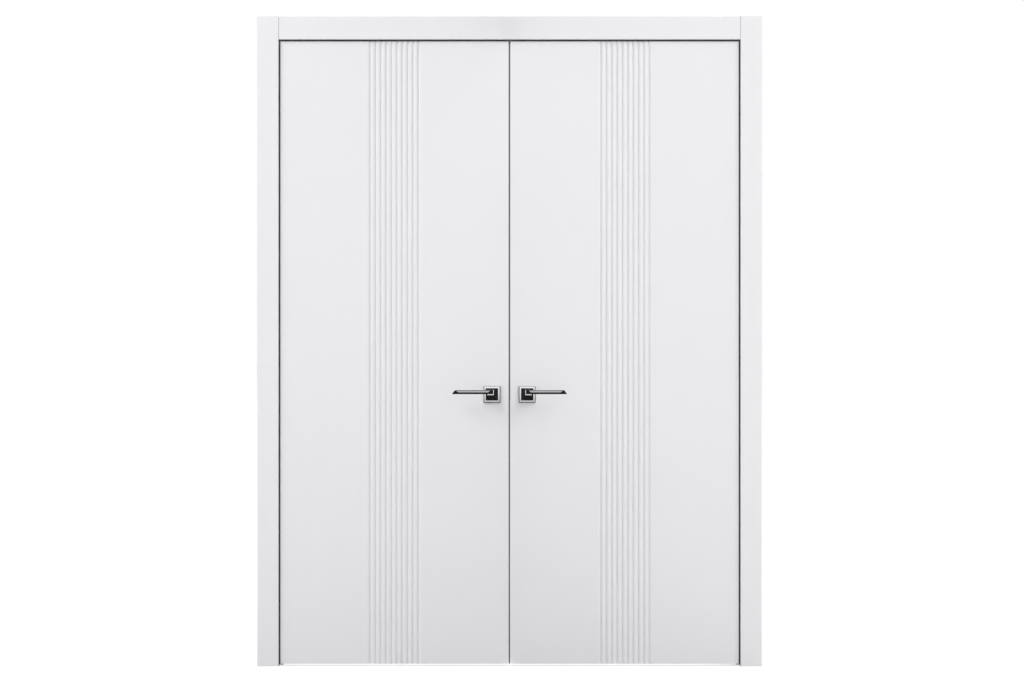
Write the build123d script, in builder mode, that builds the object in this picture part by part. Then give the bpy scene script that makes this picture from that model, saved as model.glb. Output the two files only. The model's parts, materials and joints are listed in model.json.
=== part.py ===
from build123d import *
import math
import os

os.makedirs("parts", exist_ok=True)

# Driving sizes in millimetres. X runs to the right, Y away from the viewer, Z up from the floor.
leaf_width = 746.0
leaf_height = 2032.0
skin_thickness = 8.0
core_thickness = 24.0
edge_bevel = 2.5
leaf_arris = 1.0
side_gap = 5.0
head_gap = 6.0
meeting_gap = 5.0
floor_gap = 7.0

jamb_thickness = 30.0
jamb_depth = 116.0
casing_width = 70.0
head_casing_height = 75.0
side_casing_thickness = 12.0
head_casing_thickness = 9.0
casing_edge_radius = 2.0
stop_thickness = 12.0
stop_clearance = 6.0
seal_width = 9.0
seal_to_leaf = 1.0

reed_count = 10
reed_pitch = 17.5
reed_depth = 4.5

meeting_seal_depth = 9.0
meeting_seal_thickness = 6.0
meeting_seal_to_leaf = 0.5

handle_height = 887.0
backset = 55.0
rosette_size = 55.0
rosette_thickness = 8.0
rosette_bevel_width = 2.5
rosette_bevel_depth = 1.5
collar_radius = 8.0
running_clearance = 0.05
rosette_to_hub = 0.5
hub_base = 40.0
hub_top_width = 21.0
hub_top_height = 16.5
hub_height = 5.0
hub_rise = 6.15
hub_shift = 4.2
neck_shoulder = 2.0
lever_length = 130.0
lever_height = 13.0
lever_projection = 52.0
lever_bar_depth = 9.0
lever_ridge_height = 5.8
lever_lower_slope = 4.0
lever_upper_slope = 3.0
lever_top_bevel = 2.4
lever_top_slope = 1.9
lever_tip_slant = 10.0
lever_tip_face_length = 22.0
lever_tip_face_depth = 9.0
lever_end_face_length = 17.0
lever_end_face_depth = 8.0
spindle_size = 8.0
spindle_socket = 12.0
spindle_hole_radius = 7.0

hinge_pivot_ahead = 5.0
hinge_arm_radius = 30.0
hinge_arm_thickness = 6.0
hinge_arm_height = 40.0
hinge_arm_half_angle = 50.0
hinge_clearance = 0.4
hinge_body_height = 100.0
hinge_body_width = 22.0
hinge_body_depth = 26.0
hinge_end_inset = 220.0

plate_width = 20.0
plate_thickness = 3.0
latch_plate_height = 160.0
strike_plate_height = 110.0
latch_height = 32.0
latch_width = 12.0
latch_depth = 30.0
latch_clearance = 0.3
strike_pocket_depth = 14.0
bolt_plate_height = 140.0
bolt_plate_inset = 12.0
bolt_slot_height = 60.0
bolt_slot_width = 10.0
bolt_thumb_height = 26.0
bolt_thumb_clearance = 0.5

# Sizes that follow from the driving ones.
leaf_thickness = core_thickness + 2 * skin_thickness
opening_width = 2 * (leaf_width + side_gap) + meeting_gap
opening_height = floor_gap + leaf_height + head_gap
frame_width = opening_width + 2 * jamb_thickness
mid_x = frame_width / 2
front_y = -jamb_depth / 2
back_y = jamb_depth / 2
leaf_back_y = front_y + leaf_thickness
leaf_mid_y = front_y + leaf_thickness / 2
core_front_y = front_y + skin_thickness
core_back_y = leaf_back_y - skin_thickness
leaf_left_x = jamb_thickness + side_gap
leaf_right_x = leaf_left_x + leaf_width
leaf_top_z = floor_gap + leaf_height
stop_front_y = leaf_back_y + stop_clearance
stop_face_x = jamb_thickness + stop_thickness
stop_under_z = opening_height - stop_thickness
handle_x = leaf_right_x - backset
pivot_x = jamb_thickness + side_gap / 2
pivot_y = front_y - hinge_pivot_ahead
leaf_mid_z = floor_gap + leaf_height / 2
hinge_levels = (floor_gap + hinge_end_inset, leaf_mid_z, leaf_top_z - hinge_end_inset)

# Mirror planes: the pair is symmetric left to right, and each leaf is the same on both faces.
pair_plane = Plane(origin=(mid_x, 0, 0), z_dir=(1, 0, 0))
leaf_plane = Plane(origin=(0, leaf_mid_y, 0), z_dir=(0, 1, 0))


def meeting_edge_x(y):
    """The left leaf's meeting edge leans back by the bevel from its front face."""
    return leaf_right_x - edge_bevel * (y - front_y) / leaf_thickness


def write(piece, name):
    piece.part.label = name
    export_step(piece.part, f"parts/{name}.step")


def write_pair(piece, name):
    """Writes a left piece and its mirror image on the right."""
    write(piece, f"left_{name}")
    with BuildPart() as right_piece:
        mirror(piece.part, about=pair_plane)
    write(right_piece, f"right_{name}")


def edge_slab(x, level, depth, width, height, side, mode=Mode.ADD):
    """A slab with round ends at mid leaf thickness, from x to one side or evenly about it."""
    straight = height - width
    with Locations((x, leaf_mid_y, level)):
        Box(depth, width, straight, align=(side, Align.CENTER, Align.CENTER), mode=mode)
    ends = [(x, leaf_mid_y, level - straight / 2), (x, leaf_mid_y, level + straight / 2)]
    with Locations([Location(end, (0, 90, 0)) for end in ends]):
        Cylinder(width / 2, depth, align=(Align.CENTER, Align.CENTER, side), mode=mode)


# Side jamb: a plain board that runs to the top of the head, with a pocket for each hinge.
with BuildPart() as jamb:
    with BuildSketch(Plane.XY):
        with Locations((jamb_thickness / 2, 0)):
            Rectangle(jamb_thickness, jamb_depth)
    extrude(amount=opening_height + jamb_thickness)
    for level in hinge_levels:
        edge_slab(
            jamb_thickness,
            level,
            hinge_body_depth,
            hinge_body_width,
            hinge_body_height,
            Align.MAX,
            Mode.SUBTRACT,
        )
write_pair(jamb, "jamb")

# Head jamb between the side jambs.
with BuildPart() as head_jamb:
    with BuildSketch(Plane.XY.offset(opening_height)):
        with Locations((mid_x, 0)):
            Rectangle(opening_width, jamb_depth)
    extrude(amount=jamb_thickness)
write(head_jamb, "head_jamb")

# Side casings stand proud of the head casing and run past it to the top.
with BuildPart() as front_casing:
    with BuildSketch(Plane.XY):
        with Locations((jamb_thickness, front_y)):
            Rectangle(casing_width, side_casing_thickness, align=(Align.MAX, Align.MAX))
    extrude(amount=opening_height + head_casing_height)
    fillet(
        front_casing.edges().filter_by(Axis.Z).group_by(Axis.Y)[0],
        radius=casing_edge_radius,
    )
write_pair(front_casing, "front_casing")

with BuildPart() as head_front_casing:
    with BuildSketch(Plane.XY.offset(opening_height)):
        with Locations((mid_x, front_y)):
            Rectangle(opening_width, head_casing_thickness, align=(Align.CENTER, Align.MAX))
    extrude(amount=head_casing_height)
    fillet(
        head_front_casing.edges().filter_by(Axis.X).group_by(Axis.Y)[0],
        radius=casing_edge_radius,
    )
write(head_front_casing, "head_front_casing")

# Back casings repeat the front ones around the narrower opening between the stops.
with BuildPart() as back_casing:
    with BuildSketch(Plane.XY):
        with Locations((stop_face_x, back_y)):
            Rectangle(casing_width, side_casing_thickness, align=(Align.MAX, Align.MIN))
    extrude(amount=stop_under_z + head_casing_height)
    fillet(
        back_casing.edges().filter_by(Axis.Z).group_by(Axis.Y)[-1],
        radius=casing_edge_radius,
    )
write_pair(back_casing, "back_casing")

with BuildPart() as head_back_casing:
    with BuildSketch(Plane.XY.offset(stop_under_z)):
        with Locations((mid_x, back_y)):
            Rectangle(
                frame_width - 2 * stop_face_x,
                head_casing_thickness,
                align=(Align.CENTER, Align.MIN),
            )
    extrude(amount=head_casing_height)
    fillet(
        head_back_casing.edges().filter_by(Axis.X).group_by(Axis.Y)[-1],
        radius=casing_edge_radius,
    )
write(head_back_casing, "head_back_casing")

# Stops behind the leaves run to the back edge of the jamb.
stop_depth = back_y - stop_front_y
with BuildPart() as stop:
    with BuildSketch(Plane.XY):
        with Locations((jamb_thickness, stop_front_y)):
            Rectangle(stop_thickness, stop_depth, align=(Align.MIN, Align.MIN))
    extrude(amount=stop_under_z)
write_pair(stop, "stop")

with BuildPart() as head_stop:
    with BuildSketch(Plane.XY.offset(stop_under_z)):
        with Locations((mid_x, stop_front_y)):
            Rectangle(opening_width, stop_depth, align=(Align.CENTER, Align.MIN))
    extrude(amount=stop_thickness)
write(head_stop, "head_stop")

# Seals on the front of the stops: a flat foot with a round bead towards the leaf.
seal_height = stop_clearance - seal_to_leaf
seal_bead_radius = seal_width / 2 - 1
seal_inset = (stop_thickness - seal_width) / 2
seal_mid_x = jamb_thickness + seal_inset + seal_width / 2
seal_top_z = stop_under_z + seal_inset
with BuildPart() as seal:
    with BuildSketch(Plane.XY) as seal_profile:
        with Locations((seal_mid_x, stop_front_y)):
            Rectangle(seal_width, seal_height, align=(Align.CENTER, Align.MAX))
        fillet(seal_profile.vertices().group_by(Axis.Y)[0], radius=seal_bead_radius)
    extrude(amount=seal_top_z)
write_pair(seal, "seal")

with BuildPart() as head_seal:
    head_seal_plane = Plane(
        origin=(jamb_thickness + seal_inset, stop_front_y, seal_top_z + seal_width / 2),
        x_dir=(0, 1, 0),
        z_dir=(1, 0, 0),
    )
    with BuildSketch(head_seal_plane) as head_seal_profile:
        Rectangle(seal_height, seal_width, align=(Align.MAX, Align.CENTER))
        fillet(head_seal_profile.vertices().group_by(Axis.X)[0], radius=seal_bead_radius)
    extrude(amount=opening_width - 2 * seal_inset)
write(head_seal, "head_seal")

# Leaf core: the stiles and rails between the skins, with pockets in both long edges.
plate_outer_x = leaf_right_x - edge_bevel
plate_pocket = edge_bevel + plate_thickness
strike_pocket = plate_pocket + strike_pocket_depth
bolt_levels = (
    floor_gap + bolt_plate_inset + bolt_plate_height / 2,
    leaf_top_z - bolt_plate_inset - bolt_plate_height / 2,
)


def core_outline():
    """Plan of the core, square at the hinge edge and bevelled at the meeting edge."""
    Polygon(
        (leaf_left_x, core_front_y),
        (meeting_edge_x(core_front_y), core_front_y),
        (meeting_edge_x(core_back_y), core_back_y),
        (leaf_left_x, core_back_y),
        align=None,
    )


def cut_common_pockets():
    """Hinge pockets in one edge and the hole for the handle's spindle."""
    for level in hinge_levels:
        edge_slab(
            leaf_left_x,
            level,
            hinge_body_depth,
            hinge_body_width,
            hinge_body_height,
            Align.MIN,
            Mode.SUBTRACT,
        )
    with Locations(Location((handle_x, leaf_mid_y, handle_height), (90, 0, 0))):
        Cylinder(spindle_hole_radius, core_thickness, mode=Mode.SUBTRACT)


def cut_plate_pocket(level, height):
    """A shallow pocket with round ends in the meeting edge, for a plate."""
    edge_slab(leaf_right_x, level, plate_pocket, plate_width, height, Align.MAX, Mode.SUBTRACT)


def cut_latch_pocket(depth):
    """A square pocket in the meeting edge at the latch."""
    with Locations((leaf_right_x, leaf_mid_y, handle_height)):
        Box(
            depth,
            latch_width,
            latch_height,
            align=(Align.MAX, Align.CENTER, Align.CENTER),
            mode=Mode.SUBTRACT,
        )


# The left leaf is the one bolted shut: strike plate and two flush bolts in its meeting edge.
with BuildPart() as left_core:
    with BuildSketch(Plane.XY.offset(floor_gap)):
        core_outline()
    extrude(amount=leaf_height)
    cut_common_pockets()
    cut_plate_pocket(handle_height, strike_plate_height)
    cut_latch_pocket(strike_pocket)
    for level in bolt_levels:
        cut_plate_pocket(level, bolt_plate_height)
        edge_slab(
            leaf_right_x,
            level,
            strike_pocket,
            bolt_slot_width,
            bolt_slot_height,
            Align.MAX,
            Mode.SUBTRACT,
        )
write(left_core, "left_leaf_core")

# The right leaf carries the latch; it is drawn on the left and mirrored.
with BuildPart() as latch_core:
    with BuildSketch(Plane.XY.offset(floor_gap)):
        core_outline()
    extrude(amount=leaf_height)
    cut_common_pockets()
    cut_plate_pocket(handle_height, latch_plate_height)
    cut_latch_pocket(edge_bevel + latch_depth)
with BuildPart() as right_core:
    mirror(latch_core.part, about=pair_plane)
write(right_core, "right_leaf_core")

# Reeded skin: round reeds between sharp valleys, in a band down the middle of the leaf.
reed_radius = (reed_pitch**2 / 4 + reed_depth**2) / (2 * reed_depth)
reed_half_angle = math.asin(reed_pitch / 2 / reed_radius)
half_reed_mid_x = reed_radius * math.sin(reed_half_angle / 2)
half_reed_mid_y = reed_radius * (1 - math.cos(reed_half_angle / 2))
band_width = reed_count * reed_pitch
band_left_x = (leaf_left_x + leaf_right_x - band_width) / 2
band_right_x = band_left_x + band_width
valley_y = front_y + reed_depth
arris_y = front_y + leaf_arris
with BuildPart() as front_skin:
    with BuildSketch(Plane.XY.offset(floor_gap)):
        with BuildLine():
            Polyline(
                (leaf_left_x, core_front_y),
                (leaf_left_x, arris_y),
                (leaf_left_x + leaf_arris, front_y),
                (band_left_x, front_y),
            )
            ThreePointArc(
                (band_left_x, front_y),
                (band_left_x + half_reed_mid_x, front_y + half_reed_mid_y),
                (band_left_x + reed_pitch / 2, valley_y),
            )
            for reed in range(1, reed_count):
                crest_x = band_left_x + reed * reed_pitch
                ThreePointArc(
                    (crest_x - reed_pitch / 2, valley_y),
                    (crest_x, front_y),
                    (crest_x + reed_pitch / 2, valley_y),
                )
            ThreePointArc(
                (band_right_x - reed_pitch / 2, valley_y),
                (band_right_x - half_reed_mid_x, front_y + half_reed_mid_y),
                (band_right_x, front_y),
            )
            Polyline(
                (band_right_x, front_y),
                (leaf_right_x - leaf_arris, front_y),
                (meeting_edge_x(arris_y), arris_y),
                (meeting_edge_x(core_front_y), core_front_y),
                (leaf_left_x, core_front_y),
            )
        make_face()
    extrude(amount=leaf_height)
    with Locations(Location((handle_x, front_y, handle_height), (90, 0, 0))):
        Cylinder(spindle_hole_radius, 3 * skin_thickness, mode=Mode.SUBTRACT)
write_pair(front_skin, "leaf_front_skin")

# The back skin repeats the front one, trimmed along the line of the bevel.
with BuildPart() as back_skin:
    mirror(front_skin.part, about=leaf_plane)
    with BuildSketch(Plane.XY.offset(floor_gap)):
        Polygon(
            (meeting_edge_x(core_back_y), core_back_y),
            (meeting_edge_x(leaf_back_y), leaf_back_y),
            (leaf_right_x + edge_bevel, leaf_back_y),
            (leaf_right_x + edge_bevel, core_back_y),
            align=None,
        )
    extrude(amount=leaf_height, mode=Mode.SUBTRACT)
write_pair(back_skin, "leaf_back_skin")

# Soft strip along the left leaf's meeting edge, which closes the gap between the leaves.
strip_front_y = front_y + meeting_seal_depth
strip_back_y = strip_front_y + meeting_seal_thickness
strip_tip_x = leaf_right_x + meeting_gap - meeting_seal_to_leaf
with BuildPart() as meeting_seal:
    with BuildSketch(Plane.XY.offset(floor_gap)):
        Polygon(
            (meeting_edge_x(strip_front_y), strip_front_y),
            (strip_tip_x, strip_front_y),
            (strip_tip_x, strip_back_y),
            (meeting_edge_x(strip_back_y), strip_back_y),
            align=None,
        )
    extrude(amount=leaf_height)
write(meeting_seal, "left_meeting_seal")


def edge_plate(level, height):
    """A plate with round ends let into the meeting edge, with its face behind the bevel."""
    edge_slab(plate_outer_x, level, plate_thickness, plate_width, height, Align.MAX)


through_cut = 3 * plate_thickness
with BuildPart() as strike_plate:
    edge_plate(handle_height, strike_plate_height)
    with Locations((plate_outer_x, leaf_mid_y, handle_height)):
        Box(through_cut, latch_width, latch_height, mode=Mode.SUBTRACT)
write(strike_plate, "left_strike_plate")

# Flush bolts: a slotted plate near each end of the leaf, with the thumb piece in the slot.
thumb_width = bolt_slot_width - 2 * bolt_thumb_clearance
with BuildPart() as flush_bolts:
    for level in bolt_levels:
        edge_plate(level, bolt_plate_height)
        edge_slab(
            plate_outer_x,
            level,
            through_cut,
            bolt_slot_width,
            bolt_slot_height,
            Align.CENTER,
            Mode.SUBTRACT,
        )
        edge_slab(plate_outer_x, level, plate_thickness, thumb_width, bolt_thumb_height, Align.MAX)
write(flush_bolts, "left_flush_bolts")

# Magnetic latch: its bolt rests level with the plate.
with BuildPart() as latch:
    edge_plate(handle_height, latch_plate_height)
    with Locations((plate_outer_x, leaf_mid_y, handle_height)):
        Box(
            through_cut,
            latch_width + 2 * latch_clearance,
            latch_height + 2 * latch_clearance,
            mode=Mode.SUBTRACT,
        )
        Box(
            latch_depth,
            latch_width,
            latch_height,
            align=(Align.MAX, Align.CENTER, Align.CENTER),
        )
with BuildPart() as right_latch:
    mirror(latch.part, about=pair_plane)
write(right_latch, "right_latch")

# Concealed hinges: a body in the jamb, and one in the leaf with a curved arm on the swing axis.
arm_inner = hinge_arm_radius - hinge_arm_thickness / 2
arm_outer = hinge_arm_radius + hinge_arm_thickness / 2


def ring_sector(inner, outer, half_angle):
    """Plan of a ring about the swing axis, kept to a sector that points into the wall."""
    reach = 2 * outer
    side = reach * math.sin(math.radians(half_angle))
    ahead = reach * math.cos(math.radians(half_angle))
    Circle(outer)
    Circle(inner, mode=Mode.SUBTRACT)
    Polygon((0, 0), (side, ahead), (0, reach), (-side, ahead), align=None, mode=Mode.INTERSECT)


def hinge_plane(level, height):
    return Plane(origin=(pivot_x, pivot_y, level - height / 2))


slot_height = hinge_arm_height + 2 * hinge_clearance
slot_half_angle = hinge_arm_half_angle + 2
with BuildPart() as frame_hinges:
    for level in hinge_levels:
        edge_slab(
            jamb_thickness,
            level,
            hinge_body_depth,
            hinge_body_width,
            hinge_body_height,
            Align.MAX,
        )
        with BuildSketch(hinge_plane(level, slot_height)):
            ring_sector(arm_inner - hinge_clearance, arm_outer + hinge_clearance, slot_half_angle)
        extrude(amount=slot_height, mode=Mode.SUBTRACT)
write_pair(frame_hinges, "frame_hinges")

with BuildPart() as leaf_hinges:
    for level in hinge_levels:
        edge_slab(
            leaf_left_x,
            level,
            hinge_body_depth,
            hinge_body_width,
            hinge_body_height,
            Align.MIN,
        )
        with BuildSketch(hinge_plane(level, hinge_arm_height)):
            ring_sector(arm_inner, arm_outer, hinge_arm_half_angle)
        extrude(amount=hinge_arm_height)
write_pair(leaf_hinges, "leaf_hinges")

# Rosette: a square plate with a bevelled rim and a bore for the lever's collar.
handle_front = Plane(origin=(handle_x, front_y, handle_height), x_dir=(1, 0, 0), z_dir=(0, -1, 0))
rosette_rim = rosette_thickness - rosette_bevel_depth
rosette_face = rosette_size - 2 * rosette_bevel_width
with BuildPart() as front_rosette:
    with BuildSketch(handle_front):
        Rectangle(rosette_size, rosette_size)
    extrude(amount=rosette_rim)
    with BuildSketch(handle_front.offset(rosette_rim)):
        Rectangle(rosette_size, rosette_size)
    with BuildSketch(handle_front.offset(rosette_thickness)):
        Rectangle(rosette_face, rosette_face)
    loft()
    with BuildSketch(handle_front):
        Circle(collar_radius + running_clearance)
    extrude(amount=rosette_thickness, mode=Mode.SUBTRACT)
write_pair(front_rosette, "front_rosette")

with BuildPart() as back_rosette:
    mirror(front_rosette.part, about=leaf_plane)
write_pair(back_rosette, "back_rosette")

# Lever: a collar in the rosette, a low square hub that tapers up and towards the tip, a neck, and a
# ridged bar with a slanted face at each end.
hub_foot = rosette_thickness + rosette_to_hub
hub_crown = hub_foot + hub_height
bar_back = lever_projection - lever_bar_depth
bar_mid_z = hub_rise + (hub_top_height - lever_height) / 2
bar_top_z = bar_mid_z + lever_height / 2
bar_under_z = bar_mid_z - lever_height / 2
bar_end_x = hub_top_width / 2 - hub_shift - neck_shoulder
upper_edge = lever_projection - lever_upper_slope
lever_front_y = front_y - lever_projection
tip_x = handle_x - lever_length
end_x = handle_x + bar_end_x
with BuildPart() as front_lever:
    with BuildSketch(handle_front):
        Circle(collar_radius)
    extrude(amount=hub_foot)
    with BuildSketch(handle_front.offset(hub_foot)):
        Rectangle(hub_base, hub_base)
    with BuildSketch(handle_front.offset(hub_crown)):
        with Locations((-hub_shift, hub_rise)):
            Rectangle(hub_top_width, hub_top_height)
    loft()
    with BuildSketch(handle_front.offset(hub_crown)):
        with Locations((-hub_shift, hub_rise)):
            Rectangle(hub_top_width, hub_top_height)
    extrude(amount=bar_back - hub_crown)
    bar_plane = Plane(
        origin=(end_x, front_y, handle_height),
        x_dir=(0, -1, 0),
        z_dir=(-1, 0, 0),
    )
    with BuildSketch(bar_plane):
        Polygon(
            (bar_back, bar_under_z),
            (lever_projection - lever_lower_slope, bar_under_z),
            (lever_projection, bar_under_z + lever_ridge_height),
            (upper_edge, bar_top_z - lever_top_bevel),
            (upper_edge - lever_top_slope, bar_top_z),
            (bar_back, bar_top_z),
            align=None,
        )
    extrude(amount=lever_length + bar_end_x)
    with BuildSketch(handle_front):
        Polygon(
            (-lever_length, bar_under_z),
            (-lever_length + lever_tip_slant, bar_top_z),
            (-lever_length - lever_tip_slant, bar_top_z),
            (-lever_length - lever_tip_slant, bar_under_z),
            align=None,
        )
    extrude(amount=2 * lever_projection, mode=Mode.SUBTRACT)
    with BuildSketch(Plane.XY.offset(handle_height + bar_under_z)):
        Polygon(
            (tip_x + lever_tip_face_length, lever_front_y),
            (tip_x, lever_front_y + lever_tip_face_depth),
            (tip_x - lever_tip_face_length, lever_front_y + 2 * lever_tip_face_depth),
            (tip_x - lever_tip_face_length, lever_front_y - lever_tip_face_depth),
            (tip_x + lever_tip_face_length, lever_front_y - lever_tip_face_depth),
            align=None,
        )
        Polygon(
            (end_x - lever_end_face_length, lever_front_y),
            (end_x, lever_front_y + lever_end_face_depth),
            (end_x + lever_end_face_length, lever_front_y + 2 * lever_end_face_depth),
            (end_x + lever_end_face_length, lever_front_y - lever_end_face_depth),
            (end_x - lever_end_face_length, lever_front_y - lever_end_face_depth),
            align=None,
        )
    extrude(amount=lever_height, mode=Mode.SUBTRACT)
    with BuildSketch(handle_front):
        Rectangle(spindle_size, spindle_size)
    extrude(amount=spindle_socket, mode=Mode.SUBTRACT)
write_pair(front_lever, "front_lever")

with BuildPart() as back_lever:
    mirror(front_lever.part, about=leaf_plane)
write_pair(back_lever, "back_lever")

# Spindle: a square bar from one lever's socket to the other's.
with BuildPart() as spindle:
    with BuildSketch(handle_front.offset(spindle_socket)):
        Rectangle(spindle_size, spindle_size)
    extrude(amount=-(leaf_thickness + 2 * spindle_socket))
write_pair(spindle, "spindle")
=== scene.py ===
import bpy
import bmesh
import json
import math
from mathutils import Matrix, Vector


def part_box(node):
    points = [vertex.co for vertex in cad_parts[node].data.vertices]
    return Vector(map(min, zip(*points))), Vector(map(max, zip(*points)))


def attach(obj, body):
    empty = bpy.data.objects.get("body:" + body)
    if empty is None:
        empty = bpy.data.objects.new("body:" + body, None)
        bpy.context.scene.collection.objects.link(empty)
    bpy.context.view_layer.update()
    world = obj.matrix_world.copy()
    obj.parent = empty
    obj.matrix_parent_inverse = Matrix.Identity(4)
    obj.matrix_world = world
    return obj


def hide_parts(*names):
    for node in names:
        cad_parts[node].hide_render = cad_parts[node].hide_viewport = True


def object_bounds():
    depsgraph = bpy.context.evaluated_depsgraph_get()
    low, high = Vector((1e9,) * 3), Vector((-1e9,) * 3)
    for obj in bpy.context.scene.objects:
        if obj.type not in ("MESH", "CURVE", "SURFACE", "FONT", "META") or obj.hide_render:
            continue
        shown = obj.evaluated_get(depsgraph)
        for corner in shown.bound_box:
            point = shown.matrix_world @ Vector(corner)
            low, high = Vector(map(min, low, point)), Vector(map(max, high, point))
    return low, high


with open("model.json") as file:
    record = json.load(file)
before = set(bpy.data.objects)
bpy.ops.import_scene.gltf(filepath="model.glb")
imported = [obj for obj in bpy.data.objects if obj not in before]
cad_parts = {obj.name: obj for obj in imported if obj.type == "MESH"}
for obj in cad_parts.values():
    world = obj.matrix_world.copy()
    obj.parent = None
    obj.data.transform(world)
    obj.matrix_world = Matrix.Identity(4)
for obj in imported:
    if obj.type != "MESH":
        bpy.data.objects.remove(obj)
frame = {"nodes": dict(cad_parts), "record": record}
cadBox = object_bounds()
mm = 0.001  # the frame is in metres
print("stage: frame loaded")


def hexColour(text):
    parts = [int(text[i:i + 2], 16) / 255 for i in (1, 3, 5)]
    return [p / 12.92 if p <= 0.04045 else ((p + 0.055) / 1.055) ** 2.4 for p in parts] + [1.0]


def addNode(tree, kind, inputs=None, settings=None):
    node = tree.nodes.new(kind)
    for name, value in (settings or {}).items():
        setattr(node, name, value)
    for name, value in (inputs or {}).items():
        if isinstance(value, bpy.types.NodeSocket):
            tree.links.new(value, node.inputs[name])
        else:
            node.inputs[name].default_value = value
    return node


# noise scale for a pattern whose features are this many millimetres across
def patternScale(size):
    return 1.0 / (size * mm)


def newMaterial(name):
    material = bpy.data.materials.new(name)
    material.use_nodes = True
    material.node_tree.nodes.clear()
    return material, material.node_tree


def finishMaterial(material, shader):
    addNode(material.node_tree, "ShaderNodeOutputMaterial", {"Surface": shader.outputs[0]})
    return material


# satin lacquer sprayed on board: white, a broad soft sheen and a faint orange peel in it
lacquerPlan = {"dark": "#E9E9EB", "pale": "#EBEBED", "driftSize": 450, "sheenLow": 0.30, "sheenHigh": 0.38,
               "peelSize": 2.4, "peelStrength": 0.06, "peelDepth": 0.4}


def makeLacquer(plan):
    material, tree = newMaterial("satinWhiteLacquer")
    place = addNode(tree, "ShaderNodeTexCoord").outputs["Object"]
    drift = addNode(tree, "ShaderNodeTexNoise", {
        "Vector": place, "Scale": patternScale(plan["driftSize"]), "Detail": 3.0})
    peel = addNode(tree, "ShaderNodeTexNoise", {
        "Vector": place, "Scale": patternScale(plan["peelSize"]), "Detail": 2.0})
    colour = addNode(tree, "ShaderNodeValToRGB", {"Fac": drift.outputs["Fac"]})
    colour.color_ramp.elements[0].color = hexColour(plan["dark"])
    colour.color_ramp.elements[1].color = hexColour(plan["pale"])
    sheen = addNode(tree, "ShaderNodeMapRange", {
        "Value": drift.outputs["Fac"], "To Min": plan["sheenLow"], "To Max": plan["sheenHigh"]})
    bump = addNode(tree, "ShaderNodeBump", {
        "Strength": plan["peelStrength"], "Distance": plan["peelDepth"] * mm, "Height": peel.outputs["Fac"]})
    shader = addNode(tree, "ShaderNodeBsdfPrincipled", {
        "Base Color": colour.outputs["Color"], "Roughness": sheen.outputs["Result"],
        "Normal": bump.outputs["Normal"]})
    return finishMaterial(material, shader)


# polished chrome plate: a mirror with the least haze, so its facets read black and white
chromePlan = {"colour": "#EDEEF0", "hazeSize": 11, "blurLow": 0.03, "blurHigh": 0.09}


def makeChrome(plan):
    material, tree = newMaterial("polishedChrome")
    place = addNode(tree, "ShaderNodeTexCoord").outputs["Object"]
    haze = addNode(tree, "ShaderNodeTexNoise", {
        "Vector": place, "Scale": patternScale(plan["hazeSize"]), "Detail": 4.0})
    blur = addNode(tree, "ShaderNodeMapRange", {
        "Value": haze.outputs["Fac"], "To Min": plan["blurLow"], "To Max": plan["blurHigh"]})
    shader = addNode(tree, "ShaderNodeBsdfPrincipled", {
        "Base Color": hexColour(plan["colour"]), "Metallic": 1.0, "Roughness": blur.outputs["Result"]})
    return finishMaterial(material, shader)


# satin steel: grey metal with upright brush lines that smear its highlights
steelPlan = {"colour": "#D2D3D5", "blurLow": 0.22, "blurHigh": 0.42,
             "lineWidth": 0.7,  # real lines are 0.1 mm wide, drawn coarser to show
             "lineSquash": 0.02, "lineStrength": 0.15, "lineDepth": 0.2}


def makeSteel(plan):
    material, tree = newMaterial("brushedSteel")
    place = addNode(tree, "ShaderNodeTexCoord").outputs["Object"]
    along = addNode(tree, "ShaderNodeVectorMath", {
        0: place, 1: (1.0, 1.0, plan["lineSquash"])}, {"operation": "MULTIPLY"})
    lines = addNode(tree, "ShaderNodeTexNoise", {
        "Vector": along.outputs[0], "Scale": patternScale(plan["lineWidth"]), "Detail": 2.0})
    blur = addNode(tree, "ShaderNodeMapRange", {
        "Value": lines.outputs["Fac"], "To Min": plan["blurLow"], "To Max": plan["blurHigh"]})
    bump = addNode(tree, "ShaderNodeBump", {
        "Strength": plan["lineStrength"], "Distance": plan["lineDepth"] * mm, "Height": lines.outputs["Fac"]})
    shader = addNode(tree, "ShaderNodeBsdfPrincipled", {
        "Base Color": hexColour(plan["colour"]), "Metallic": 1.0, "Roughness": blur.outputs["Result"],
        "Normal": bump.outputs["Normal"]})
    return finishMaterial(material, shader)


# grey coat baked on steel: a dull even sheen, so that it is lost in the gaps
coatPlan = {"dark": "#99999B", "pale": "#A3A3A5", "blurLow": 0.40, "blurHigh": 0.55,
            "grainSize": 0.9,  # real grain is 0.2 mm, drawn coarser to show
            "grainStrength": 0.12, "grainDepth": 0.2}


def makeGreyCoat(plan):
    material, tree = newMaterial("greyCoatedSteel")
    place = addNode(tree, "ShaderNodeTexCoord").outputs["Object"]
    grain = addNode(tree, "ShaderNodeTexNoise", {
        "Vector": place, "Scale": patternScale(plan["grainSize"]), "Detail": 2.0})
    colour = addNode(tree, "ShaderNodeValToRGB", {"Fac": grain.outputs["Fac"]})
    colour.color_ramp.elements[0].color = hexColour(plan["dark"])
    colour.color_ramp.elements[1].color = hexColour(plan["pale"])
    blur = addNode(tree, "ShaderNodeMapRange", {
        "Value": grain.outputs["Fac"], "To Min": plan["blurLow"], "To Max": plan["blurHigh"]})
    bump = addNode(tree, "ShaderNodeBump", {
        "Strength": plan["grainStrength"], "Distance": plan["grainDepth"] * mm,
        "Height": grain.outputs["Fac"]})
    shader = addNode(tree, "ShaderNodeBsdfPrincipled", {
        "Base Color": colour.outputs["Color"], "Roughness": blur.outputs["Result"],
        "Normal": bump.outputs["Normal"]})
    return finishMaterial(material, shader)


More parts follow.
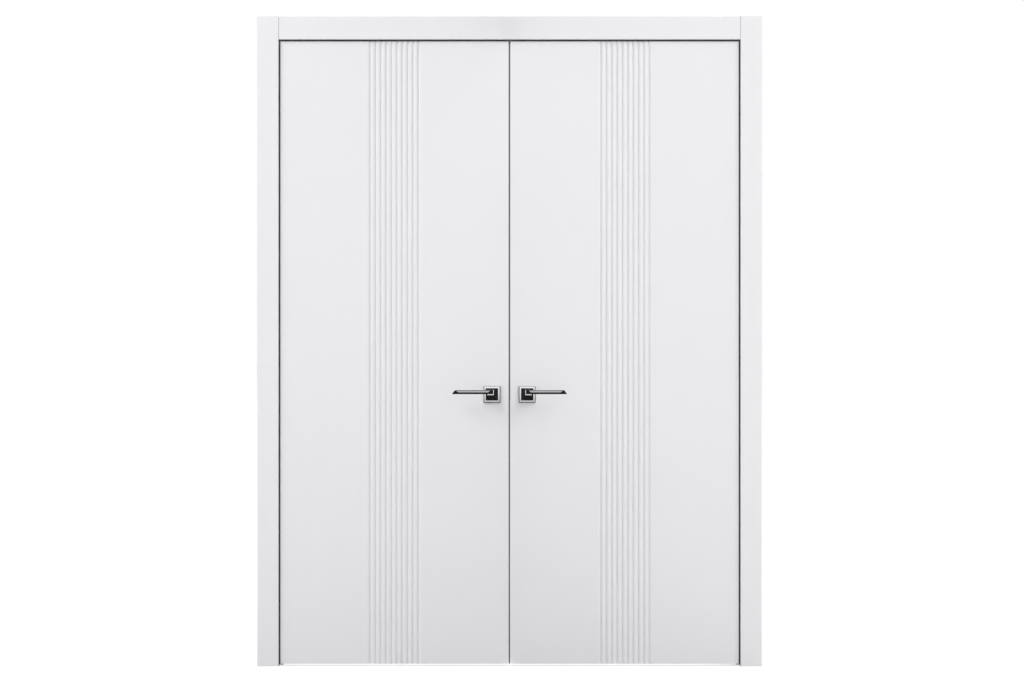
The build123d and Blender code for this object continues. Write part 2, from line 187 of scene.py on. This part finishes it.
# soft rubber seal strip: dull, a little uneven, with no clear highlight
rubberPlan = {"roughness": 0.75,
              "grainSize": 1.4,  # real grain is 0.2 mm, drawn coarser to show
              "grainStrength": 0.1, "grainDepth": 0.2}


def makeRubber(plan, name, dark, pale):
    material, tree = newMaterial(name)
    place = addNode(tree, "ShaderNodeTexCoord").outputs["Object"]
    grain = addNode(tree, "ShaderNodeTexNoise", {
        "Vector": place, "Scale": patternScale(plan["grainSize"]), "Detail": 3.0})
    colour = addNode(tree, "ShaderNodeValToRGB", {"Fac": grain.outputs["Fac"]})
    colour.color_ramp.elements[0].color = hexColour(dark)
    colour.color_ramp.elements[1].color = hexColour(pale)
    bump = addNode(tree, "ShaderNodeBump", {
        "Strength": plan["grainStrength"], "Distance": plan["grainDepth"] * mm,
        "Height": grain.outputs["Fac"]})
    shader = addNode(tree, "ShaderNodeBsdfPrincipled", {
        "Base Color": colour.outputs["Color"], "Roughness": plan["roughness"],
        "Normal": bump.outputs["Normal"]})
    return finishMaterial(material, shader)


slotMaterials = {
    "white_lacquer": makeLacquer(lacquerPlan),
    "chrome": makeChrome(chromePlan),
    "satin_steel": makeSteel(steelPlan),
    "grey_metal": makeGreyCoat(coatPlan),
    "black_seal": makeRubber(rubberPlan, "blackRubberSeal", "#141414", "#1F1F20"),
    "grey_seal": makeRubber(rubberPlan, "greyRubberSeal", "#77787A", "#8A8B8D"),
}
nodeSlot = {entry["node"]: entry["material_slot"] for entry in frame["record"]["subparts"]}
nodeBody = {name: body for body, names in frame["record"]["behaviour"]["bodies"].items() for name in names}
for node, slot in nodeSlot.items():
    mesh = frame["nodes"][node].data
    mesh.materials.clear()
    mesh.materials.append(slotMaterials[slot])
print("stage: materials on the frame")


def pieceName(node):
    first, *rest = node.split("_")
    return first + "".join(part.capitalize() for part in rest)


# a finished piece, on the body and with the finish of its CAD node
def makePiece(shape, name, node, smoothAngle):
    mesh = bpy.data.meshes.new(name)
    shape.to_mesh(mesh)
    shape.free()
    mesh.polygons.foreach_set("use_smooth", [True] * len(mesh.polygons))
    mesh.set_sharp_from_angle(angle=math.radians(smoothAngle))
    mesh.materials.append(slotMaterials[nodeSlot[node]])
    piece = bpy.data.objects.new(name, mesh)
    bpy.context.scene.collection.objects.link(piece)
    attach(piece, nodeBody[node])
    return piece


copyPlan = {"mergeDistance": 0.002, "flatAngle": 0.5}  # millimetres and degrees


# the node's own form with its hard edges broken, as a maker would ease them
def softenNode(node, plan):
    shape = bmesh.new()
    shape.from_mesh(frame["nodes"][node].data)
    bmesh.ops.remove_doubles(shape, verts=shape.verts, dist=copyPlan["mergeDistance"] * mm)
    bmesh.ops.dissolve_limit(shape, angle_limit=math.radians(copyPlan["flatAngle"]),
                             verts=shape.verts, edges=shape.edges)
    if plan["edge"] > 0:
        hardAngle = math.radians(plan["hardAngle"])
        hard = [edge for edge in shape.edges if edge.calc_face_angle(0.0) > hardAngle]
        bmesh.ops.bevel(shape, geom=hard, offset=plan["edge"] * mm, offset_type="OFFSET", affect="EDGES",
                        segments=plan["steps"], profile=0.5, material=-1, clamp_overlap=True)
    piece = makePiece(shape, pieceName(node), node, plan["smoothAngle"])
    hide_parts(node)
    flatten = piece.modifiers.new("flatFaces", "WEIGHTED_NORMAL")  # wide faces stay flat beside eased edges
    flatten.keep_sharp = True


# edge is the width of the eased edge in millimetres, and round forms keep the edges they have
softPlans = {
    "lever": {"edge": 0.4, "hardAngle": 12, "steps": 2, "smoothAngle": 50},
    "rosette": {"edge": 0.4, "hardAngle": 20, "steps": 2, "smoothAngle": 50},
    "plate": {"edge": 0.3, "hardAngle": 40, "steps": 2, "smoothAngle": 50},
    "board": {"edge": 0.6, "hardAngle": 40, "steps": 2, "smoothAngle": 50},
    "round": {"edge": 0.0, "smoothAngle": 40},
}
leaves = ("left_", "right_")
frameSides = ("left_", "right_", "head_")
faces = ("front_", "back_")
softNodes = {
    "lever": [side + face + "lever" for side in leaves for face in faces],
    "rosette": [side + face + "rosette" for side in leaves for face in faces],
    "plate": ["left_strike_plate", "left_flush_bolts", "right_latch"]
             + [side + name for side in leaves for name in ("frame_hinges", "leaf_hinges")],
    "board": [side + name for side in frameSides for name in ("jamb", "stop")],
    "round": [side + name for side in frameSides for name in ("front_casing", "back_casing", "seal")]
             + [side + "leaf_" + face + "skin" for side in leaves for face in faces],
}
for kind, names in softNodes.items():
    for name in names:
        softenNode(name, softPlans[kind])
print("stage: edges eased")


def pick(geometry, kind):
    return [item for item in geometry if isinstance(item, kind)]


# a small mesh drawn in millimetres, for copying
def keepMesh(shape, name):
    bmesh.ops.scale(shape, verts=shape.verts, vec=(mm, mm, mm))
    mesh = bpy.data.meshes.new(name)
    shape.to_mesh(mesh)
    shape.free()
    return mesh


# raised screw head with a cross recess, in millimetres, its face up
screwPlan = {
    "radius": 3.9, "sunk": 0.3, "sides": 24,
    "shoulderRadius": 3.6, "shoulderRise": 0.25, "crownRadius": 2.9, "crownRise": 0.45, "rise": 0.5,
    "arm": 2.0, "armWidth": 1.2, "recess": 0.4, "recessSlope": 0.1,
    "plateTurn": 0.7, "pairTurn": 0.4,  # radians, so that no two crosses stand alike
}


def makeScrew(plan):
    shape = bmesh.new()
    bmesh.ops.create_circle(shape, radius=plan["radius"], segments=plan["sides"])
    foot = shape.edges[:]
    loop = foot
    for ring in ("shoulder", "crown"):
        grown = bmesh.ops.extrude_edge_only(shape, edges=loop)["geom"]
        loop = pick(grown, bmesh.types.BMEdge)
        for point in pick(grown, bmesh.types.BMVert):
            outward = point.co.xy.normalized().to_3d()
            point.co = outward * plan[ring + "Radius"] + Vector((0, 0, plan[ring + "Rise"]))
    below = bmesh.ops.extrude_edge_only(shape, edges=foot)["geom"]
    bmesh.ops.translate(shape, verts=pick(below, bmesh.types.BMVert), vec=(0, 0, -plan["sunk"]))
    bmesh.ops.holes_fill(shape, edges=pick(below, bmesh.types.BMEdge))
    # the cross is a grid of nine without its corners, whose inner lines start a third of the arm out
    grid = bmesh.ops.create_grid(shape, x_segments=3, y_segments=3, size=plan["arm"])["verts"]
    narrow = (plan["armWidth"] / 2) / (plan["arm"] / 3)
    for axis in (0, 1):
        for point in grid:
            if abs(point.co[axis]) < plan["arm"] / 2:
                point.co[axis] *= narrow
    bmesh.ops.translate(shape, verts=grid, vec=(0, 0, plan["rise"]))
    cells = {face for point in grid for face in point.link_faces}
    corners = []
    for face in cells:
        middle = face.calc_center_median()
        if min(abs(middle.x), abs(middle.y)) > plan["armWidth"] / 2:
            corners.append(face)
    bmesh.ops.delete(shape, geom=corners, context="FACES")
    cross = [face for face in cells if face.is_valid]
    rim = [edge for face in cross for edge in face.edges if edge.is_boundary]
    bmesh.ops.bridge_loops(shape, edges=rim + loop)
    bmesh.ops.inset_region(shape, faces=cross, thickness=plan["recessSlope"], depth=-plan["recess"])
    bmesh.ops.recalc_face_normals(shape, faces=shape.faces)
    return keepMesh(shape, "screwHead")


# round rib across a thumb piece, half sunk, where the finger pushes it; in millimetres
ribPlan = {"length": 6.4, "radius": 0.55, "pitch": 3.6, "count": 5,
           "sides": 12, "endAngle": 60, "endRound": 0.33, "endSteps": 3}


def makeRib(plan):
    shape = bmesh.new()
    bmesh.ops.create_cone(shape, cap_ends=True, segments=plan["sides"], radius1=plan["radius"],
                          radius2=plan["radius"], depth=plan["length"],
                          matrix=Matrix.Rotation(math.pi / 2, 4, "X"))
    ends = [edge for edge in shape.edges if edge.calc_face_angle() > math.radians(plan["endAngle"])]
    bmesh.ops.bevel(shape, geom=ends, offset=plan["endRound"], offset_type="OFFSET", affect="EDGES",
                    segments=plan["endSteps"], profile=0.5, material=-1, clamp_overlap=True)
    return keepMesh(shape, "thumbRib")


# copies a small mesh onto an upright face that looks along x
def addCopy(shape, mesh, place, outward, turn):
    before = set(shape.verts)
    shape.from_mesh(mesh)
    added = [point for point in shape.verts if point not in before]
    facing = Matrix.Rotation(outward * math.pi / 2, 4, "Y") @ Matrix.Rotation(turn, 4, "Z")
    bmesh.ops.transform(shape, verts=added, matrix=Matrix.Translation(place) @ facing)


fittingPlan = {"smoothAngle": 35}


# small fittings on a CAD node, with the node's finish
def addFitting(shape, name, node):
    bmesh.ops.recalc_face_normals(shape, faces=shape.faces)
    makePiece(shape, name, node, fittingPlan["smoothAngle"])


# half is half a plate's height, reach how far its screws stand from its middle; in millimetres
hingePlates = {"plates": 3, "half": 50, "reach": 37}
screwSets = {
    "left_strike_plate": {"faceOf": "left_strike_plate", "outward": 1, "plates": 1, "half": 55, "reach": 43},
    "left_flush_bolts": {"faceOf": "left_flush_bolts", "outward": 1, "plates": 2, "half": 70, "reach": 53},
    "right_latch": {"faceOf": "right_latch", "outward": -1, "plates": 1, "half": 80, "reach": 67},
    "left_frame_hinges": {"faceOf": "left_frame_hinges", "outward": 1, **hingePlates},
    "right_frame_hinges": {"faceOf": "right_frame_hinges", "outward": -1, **hingePlates},
    "left_leaf_hinges": {"faceOf": "left_leaf_core", "outward": -1, **hingePlates},
    "right_leaf_hinges": {"faceOf": "right_leaf_core", "outward": 1, **hingePlates},
}
coreLow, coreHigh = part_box("left_leaf_core")
plateMidY = (coreLow.y + coreHigh.y) / 2


# middles of the outer faces of a node's plates, from the lowest plate up
def plateMiddles(node, plan):
    low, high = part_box(node)
    faceLow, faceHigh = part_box(plan["faceOf"])
    faceX = faceHigh.x if plan["outward"] > 0 else faceLow.x
    half = plan["half"] * mm
    pitch = (high.z - low.z - 2 * half) / max(plan["plates"] - 1, 1)
    return [Vector((faceX, plateMidY, low.z + half + k * pitch)) for k in range(plan["plates"])]


screwMesh = makeScrew(screwPlan)
for node, plan in screwSets.items():
    shape = bmesh.new()
    for k, middle in enumerate(plateMiddles(node, plan)):
        for side in (-1, 1):
            place = middle + Vector((0, 0, side * plan["reach"] * mm))
            turn = k * screwPlan["plateTurn"] + side * screwPlan["pairTurn"]
            addCopy(shape, screwMesh, place, plan["outward"], turn)
    addFitting(shape, pieceName(node) + "Screws", node)

ribMesh = makeRib(ribPlan)
boltPlan = screwSets["left_flush_bolts"]
shape = bmesh.new()
for middle in plateMiddles("left_flush_bolts", boltPlan):
    for k in range(ribPlan["count"]):
        rise = (k - (ribPlan["count"] - 1) / 2) * ribPlan["pitch"] * mm
        addCopy(shape, ribMesh, middle + Vector((0, 0, rise)), boltPlan["outward"], 0.0)
addFitting(shape, "leftFlushBoltsRibs", "left_flush_bolts")
for mesh in (screwMesh, ribMesh):
    bpy.data.meshes.remove(mesh)
print("stage: screws and ribs")

# camera: square on to the front, far back with a long lens
cameraPlan = {"x": 0.7915, "z": 1.0594, "distance": 9.0, "sensor": 36.0,
              "pixel": 0.0032648, "pixelsWide": 1024}  # pixel is its width in metres at the leaves
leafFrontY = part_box("left_leaf_front_skin")[0].y
viewWidth = cameraPlan["pixel"] * cameraPlan["pixelsWide"]
cameraData = bpy.data.cameras.new("frontCamera")
cameraData.sensor_width = cameraPlan["sensor"]
cameraData.lens = cameraPlan["sensor"] * cameraPlan["distance"] / viewWidth
camera = bpy.data.objects.new("frontCamera", cameraData)
camera.location = (cameraPlan["x"], leafFrontY - cameraPlan["distance"], cameraPlan["z"])
camera.rotation_euler = (math.radians(90), 0, 0)
bpy.context.scene.collection.objects.link(camera)
bpy.context.scene.camera = camera

# broad soft box lamps, turned to the middle of the doorway; across is from its middle
midX = (cadBox[0].x + cadBox[1].x) / 2
lampPlan = {"size": 4.0, "aimHeight": 1.2}
lamps = {
    "leftLamp": {"across": -4.2, "y": -3.9, "z": 7.2, "watts": 357.0},
    "rightLamp": {"across": 4.2, "y": -3.9, "z": 7.2, "watts": 336.0},
    "backLamp": {"across": 3.6, "y": 4.2, "z": 4.6, "watts": 170.0},
}
for name, plan in lamps.items():
    data = bpy.data.lights.new(name, "AREA")
    data.shape = "SQUARE"
    data.size = lampPlan["size"]
    data.energy = plan["watts"]
    lamp = bpy.data.objects.new(name, data)
    lamp.location = (midX + plan["across"], plan["y"], plan["z"])
    aim = Vector((midX, 0, lampPlan["aimHeight"])) - lamp.location
    lamp.rotation_euler = aim.to_track_quat("-Z", "Y").to_euler()
    bpy.context.scene.collection.objects.link(lamp)


# flat stage board between two corners, out of the camera's sight
def addBoard(name, low, high, shader):
    low, high = Vector(low), Vector(high)
    mesh = bpy.data.meshes.new(name)
    board = bmesh.new()
    bmesh.ops.create_cube(board, size=1.0)
    bmesh.ops.scale(board, verts=board.verts, vec=high - low)
    bmesh.ops.translate(board, verts=board.verts, vec=(low + high) / 2)
    bmesh.ops.recalc_face_normals(board, faces=board.faces)
    board.to_mesh(mesh)
    board.free()
    material, tree = newMaterial(name)
    mesh.materials.append(finishMaterial(material, addNode(tree, *shader)))
    item = bpy.data.objects.new(name, mesh)
    bpy.context.scene.collection.objects.link(item)
    item.visible_camera = False
    item.visible_transmission = False
    return item


# thin uprights between the two front lamps, so that each leaf takes its light from its own outer side
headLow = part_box("head_front_casing")[0]
cardPlan = {"farY": -1.3, "halfThick": 0.0001, "clear": 0.0005, "lap": 0.001}
middleCards = {
    "middleCardLow": {"faceY": leafFrontY, "low": 0.03, "high": headLow.z - cardPlan["lap"], "shade": 0.8},
    "middleCardHigh": {"faceY": headLow.y, "low": headLow.z - cardPlan["lap"], "high": 4.2, "shade": 0.5},
}
for name, card in middleCards.items():
    low = (midX - cardPlan["halfThick"], cardPlan["farY"], card["low"])
    high = (midX + cardPlan["halfThick"], card["faceY"] - cardPlan["clear"], card["high"])
    item = addBoard(name, low, high, ("ShaderNodeBsdfDiffuse", {"Color": [card["shade"]] * 3 + [1.0]}))
    item.visible_glossy = False

# boards that only mirrors see, before and behind, glowing at a set level: a painted reflection that draws the
# black and grey facets on the chrome
paintedReflectionCards = {
    "floorCard": {"low": (-1.2, 0.09, 0.001), "high": (1.2, 2.2, 0.003), "level": 0.015},
    "leftCard": {"low": (-2.42, 0.09, 0.0), "high": (-2.4, 3.8, 3.2), "level": 0.02},
    "rightCard": {"low": (2.4, 0.09, 0.0), "high": (2.42, 3.8, 3.2), "level": 0.02},
    "ceilingCard": {"low": (-1.2, 0.09, 3.4), "high": (1.2, 1.0, 3.42), "level": 0.05},
    "greyCard": {"low": (-1.2, 1.0, 3.4), "high": (1.2, 3.4, 3.42), "level": 0.5},
}
for name, card in paintedReflectionCards.items():
    for end, turn in (("Front", -1), ("Back", 1)):
        corners = [(midX + x, y * turn, z) for x, y, z in (card["low"], card["high"])]
        item = addBoard(name + end, *corners, ("ShaderNodeEmission", {"Strength": card["level"]}))
        item.visible_diffuse = False
        item.visible_shadow = False

# world: white to the eye and in mirrors, plain soft light for the rest
worldPlan = {"soft": 0.72, "seen": 1.0}
world = bpy.data.worlds.new("studio")
bpy.context.scene.world = world
world.use_nodes = True
worldTree = world.node_tree
worldTree.nodes.clear()
rays = addNode(worldTree, "ShaderNodeLightPath")
seen = addNode(worldTree, "ShaderNodeMath", {
    0: rays.outputs["Is Camera Ray"], 1: rays.outputs["Is Glossy Ray"]}, {"operation": "ADD"})
seenAll = addNode(worldTree, "ShaderNodeMath", {
    0: seen.outputs[0], 1: rays.outputs["Is Transmission Ray"]}, {"operation": "ADD", "use_clamp": True})
level = addNode(worldTree, "ShaderNodeMapRange", {
    "Value": seenAll.outputs[0], "To Min": worldPlan["soft"], "To Max": worldPlan["seen"]})
sky = addNode(worldTree, "ShaderNodeBackground", {
    "Color": (1.0, 1.0, 1.0, 1.0), "Strength": level.outputs["Result"]})
addNode(worldTree, "ShaderNodeOutputWorld", {"Surface": sky.outputs[0]})

# floor: pale, partly lit by itself to the eye, so that it is white and keeps a faint shadow
floorPlan = {"half": 40.0, "drop": 0.0005, "shade": 0.6,
             "nearReach": 1.0, "farReach": 3.2, "nearGlow": 0.6, "farGlow": 1.0}
floorMesh = bpy.data.meshes.new("floor")
shape = bmesh.new()
bmesh.ops.create_grid(shape, x_segments=1, y_segments=1, size=floorPlan["half"])
shape.to_mesh(floorMesh)
shape.free()
floor = bpy.data.objects.new("floor", floorMesh)
floor.location = (midX, 0, -floorPlan["drop"])
bpy.context.scene.collection.objects.link(floor)
floorMaterial, floorTree = newMaterial("paleStudioFloor")
floorRays = addNode(floorTree, "ShaderNodeLightPath")
floorPlace = addNode(floorTree, "ShaderNodeTexCoord").outputs["Object"]
floorReach = addNode(floorTree, "ShaderNodeVectorMath", {0: floorPlace}, {"operation": "LENGTH"})
floorFade = addNode(floorTree, "ShaderNodeMapRange", {
    "Value": floorReach.outputs["Value"],
    "From Min": floorPlan["nearReach"], "From Max": floorPlan["farReach"],
    "To Min": floorPlan["nearGlow"], "To Max": floorPlan["farGlow"]})
floorLevel = addNode(floorTree, "ShaderNodeMath", {
    0: floorFade.outputs["Result"], 1: floorRays.outputs["Is Camera Ray"]}, {"operation": "MULTIPLY"})
floorBase = addNode(floorTree, "ShaderNodeBsdfDiffuse", {"Color": [floorPlan["shade"]] * 3 + [1.0]})
floorGlow = addNode(floorTree, "ShaderNodeEmission", {"Strength": floorLevel.outputs[0]})
floorBoth = addNode(floorTree, "ShaderNodeAddShader", {0: floorBase.outputs[0], 1: floorGlow.outputs[0]})
floorMesh.materials.append(finishMaterial(floorMaterial, floorBoth))
bpy.context.scene.view_settings.view_transform = "Standard"
print("stage: camera, lamps, world and floor")
